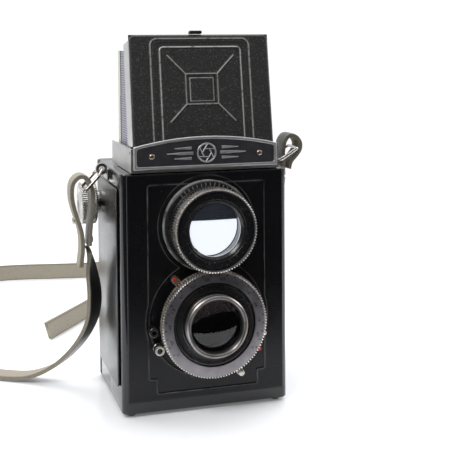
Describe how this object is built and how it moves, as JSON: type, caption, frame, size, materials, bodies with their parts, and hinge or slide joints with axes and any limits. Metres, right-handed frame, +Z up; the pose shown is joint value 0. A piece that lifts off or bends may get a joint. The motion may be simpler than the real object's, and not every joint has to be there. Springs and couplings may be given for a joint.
{
  "type": "twin lens reflex camera",
  "caption": "Box-bodied roll-film camera with a viewing lens geared to a taking lens below it, a folding waist-level hood, a hinged back and a neck strap.",
  "frame": {"origin": "middle of the tripod plate's underside, half way between the front plate and the back", "axes": "+Z up, -Y towards the front where the lenses are, +X to the right as seen from the front"},
  "size_m": [0.1829, 0.3143, 0.1797],
  "materials": {
    "casting_enamel": "smooth black enamel",
    "leatherette": "fine pressed grain, black",
    "hood_metal": "black crackle enamel outside, bare inside",
    "nameplate_metal": "black field with a raised bright border",
    "black_fittings": "satin black",
    "silver_ring": "satin with engraved marks",
    "polished_chrome": "polished",
    "bare_aluminium": "plain",
    "brass_ring": "worn",
    "optical_glass": "polished and coated",
    "mirror_glass": "front silvered",
    "red_filter": "clear red",
    "spool_plastic": "moulded",
    "strap_leather": "worn smooth outside, pale cut edges"
  },
  "bodies": {
    "root": {"aperture_blades": "bare_aluminium", "back_hinge_pin": "polished_chrome", "body_shell": "casting_enamel", "cable_release_socket": "black_fittings", "film_gate": "black_fittings", "flash_socket": "polished_chrome", "front_plate": "casting_enamel", "hood_base_frame": "hood_metal", "left_side_cover": "leatherette", "left_strap_lug": "bare_aluminium", "light_chamber": "black_fittings", "long_strap": "strap_leather", "nameplate": "nameplate_metal", "reflex_mirror": "mirror_glass", "right_side_cover": "leatherette", "right_strap_lug": "bare_aluminium", "short_strap": "strap_leather", "shutter_blades": "black_fittings", "shutter_housing": "black_fittings", "strap_buckle": "polished_chrome", "taking_rear_lens": "optical_glass", "tripod_plate": "bare_aluminium", "viewing_lens_mount": "black_fittings", "viewing_rear_lens": "optical_glass", "viewing_screen": "optical_glass"},
    "focus_taking": {"taking_focus_ring": "silver_ring", "taking_recess_ring": "black_fittings", "taking_front_rim": "polished_chrome", "taking_front_lens": "optical_glass"},
    "focus_viewing": {"viewing_focus_ring": "black_fittings", "viewing_lens_bezel": "black_fittings", "viewing_front_lens": "optical_glass"},
    "speed": {"speed_ring": "brass_ring"},
    "aperture": {"aperture_lever": "black_fittings"},
    "cocking": {"cocking_lever": "polished_chrome"},
    "self_timer": {"self_timer_lever": "polished_chrome"},
    "release": {"release_lever": "polished_chrome"},
    "winding": {"winding_knob": "polished_chrome", "takeup_spool": "spool_plastic"},
    "feed": {"feed_spool": "spool_plastic"},
    "takeup_knob": {"takeup_spool_knob": "polished_chrome"},
    "feed_knob": {"feed_spool_knob": "polished_chrome"},
    "back": {"back_cover": "casting_enamel", "film_window": "red_filter", "pressure_plate": "bare_aluminium", "pressure_spring": "bare_aluminium"},
    "window": {"window_cover": "polished_chrome"},
    "catch": {"back_catch": "polished_chrome"},
    "lid": {"hood_lid": "hood_metal", "lid_catch": "black_fittings"},
    "flap": {"finder_flap": "hood_metal"},
    "left_panel": {"hood_left_panel": "hood_metal"},
    "magnifier": {"magnifier_frame": "black_fittings", "magnifier_lens": "optical_glass"},
    "right_panel": {"hood_right_panel": "hood_metal"},
    "rear_panel": {"hood_rear_panel": "hood_metal"},
    "left_ring": {"left_strap_ring": "polished_chrome", "left_strap_loop": "strap_leather"},
    "right_ring": {"right_strap_ring": "polished_chrome", "right_strap_loop": "strap_leather"}
  },
  "joints": [
    {"name": "taking_focus", "type": "hinge", "parent": "root", "child": "focus_taking", "pos_m": [0, -0.035, 0.0447], "axis": [0, -1, 0], "range_deg": [0, 270]},
    {"name": "viewing_focus", "type": "hinge", "parent": "root", "child": "focus_viewing", "pos_m": [0, -0.035, 0.08854], "axis": [0, -1, 0], "range_deg": [-350, 0]},
    {"name": "speed_turn", "type": "hinge", "parent": "root", "child": "speed", "pos_m": [0, -0.035, 0.0447], "axis": [0, -1, 0], "range_deg": [-20, 35]},
    {"name": "aperture_turn", "type": "hinge", "parent": "root", "child": "aperture", "pos_m": [0, -0.035, 0.0447], "axis": [0, -1, 0], "range_deg": [-20, 15]},
    {"name": "shutter_cocking", "type": "hinge", "parent": "root", "child": "cocking", "pos_m": [0, -0.035, 0.0447], "axis": [0, -1, 0], "range_deg": [-22, 0]},
    {"name": "self_timer_turn", "type": "hinge", "parent": "root", "child": "self_timer", "pos_m": [0, -0.035, 0.0447], "axis": [0, -1, 0], "range_deg": [-10, 0]},
    {"name": "shutter_release", "type": "hinge", "parent": "root", "child": "release", "pos_m": [0, -0.035, 0.0447], "axis": [0, -1, 0], "range_deg": [-8, 0], "stiffness_Nm_per_rad": 0.002},
    {"name": "film_winding", "type": "hinge", "parent": "root", "child": "winding", "pos_m": [0, 0.018, 0.0935], "axis": [-1, 0, 0], "continuous": true},
    {"name": "feed_turn", "type": "hinge", "parent": "root", "child": "feed", "pos_m": [0, -0.0191, 0.0197], "axis": [1, 0, 0], "continuous": true},
    {"name": "takeup_knob_pull", "type": "slide", "parent": "root", "child": "takeup_knob", "axis": [1, 0, 0], "range_m": [0, 0.0085], "stiffness_N_per_m": 100},
    {"name": "feed_knob_pull", "type": "slide", "parent": "root", "child": "feed_knob", "axis": [1, 0, 0], "range_m": [0, 0.0085], "stiffness_N_per_m": 100},
    {"name": "back_swing", "type": "hinge", "parent": "root", "child": "back", "pos_m": [0, 0.0256, 0.1154], "axis": [1, 0, 0], "range_deg": [0, 110]},
    {"name": "window_cover_swing", "type": "hinge", "parent": "back", "child": "window", "pos_m": [0, 0.035, 0.0557], "axis": [0, 1, 0], "range_deg": [0, 75]},
    {"name": "back_catch_slide", "type": "slide", "parent": "back", "child": "catch", "axis": [0, 0, 1], "range_m": [0, 0.004]},
    {"name": "lid_fold", "type": "hinge", "parent": "root", "child": "lid", "pos_m": [0, -0.032, 0.1232], "axis": [-1, 0, 0], "range_deg": [0, 1]},
    {"name": "finder_flap_swing", "type": "hinge", "parent": "lid", "child": "flap", "pos_m": [0, -0.02713, 0.15777], "axis": [-1, 0, 0], "range_deg": [-80, 0]},
    {"name": "left_panel_fold", "type": "hinge", "parent": "root", "child": "left_panel", "pos_m": [-0.0328, -0.01, 0.1196], "axis": [0, 1, 0], "range_deg": [0, 90]},
    {"name": "magnifier_swing", "type": "hinge", "parent": "left_panel", "child": "magnifier", "pos_m": [-0.03125, -0.01, 0.1656], "axis": [0, 1, 0], "range_deg": [-90, 0]},
    {"name": "right_panel_fold", "type": "hinge", "parent": "root", "child": "right_panel", "pos_m": [0.0328, -0.01, 0.1206], "axis": [0, -1, 0], "range_deg": [0, 90]},
    {"name": "rear_panel_fold", "type": "hinge", "parent": "root", "child": "rear_panel", "pos_m": [0, 0.0116, 0.1216], "axis": [1, 0, 0], "range_deg": [0, 90]},
    {"name": "left_ring_swing", "type": "hinge", "parent": "root", "child": "left_ring", "pos_m": [-0.0439, -0.002, 0.1129], "axis": [0, 1, 0], "range_deg": [0, 12]},
    {"name": "right_ring_swing", "type": "hinge", "parent": "root", "child": "right_ring", "pos_m": [0.0439, -0.002, 0.1129], "axis": [0, -1, 0], "range_deg": [0, 12]}
  ],
  "couplings": [
    {"joint": "viewing_focus", "follows": "taking_focus", "ratio": -1.2889}
  ]
}
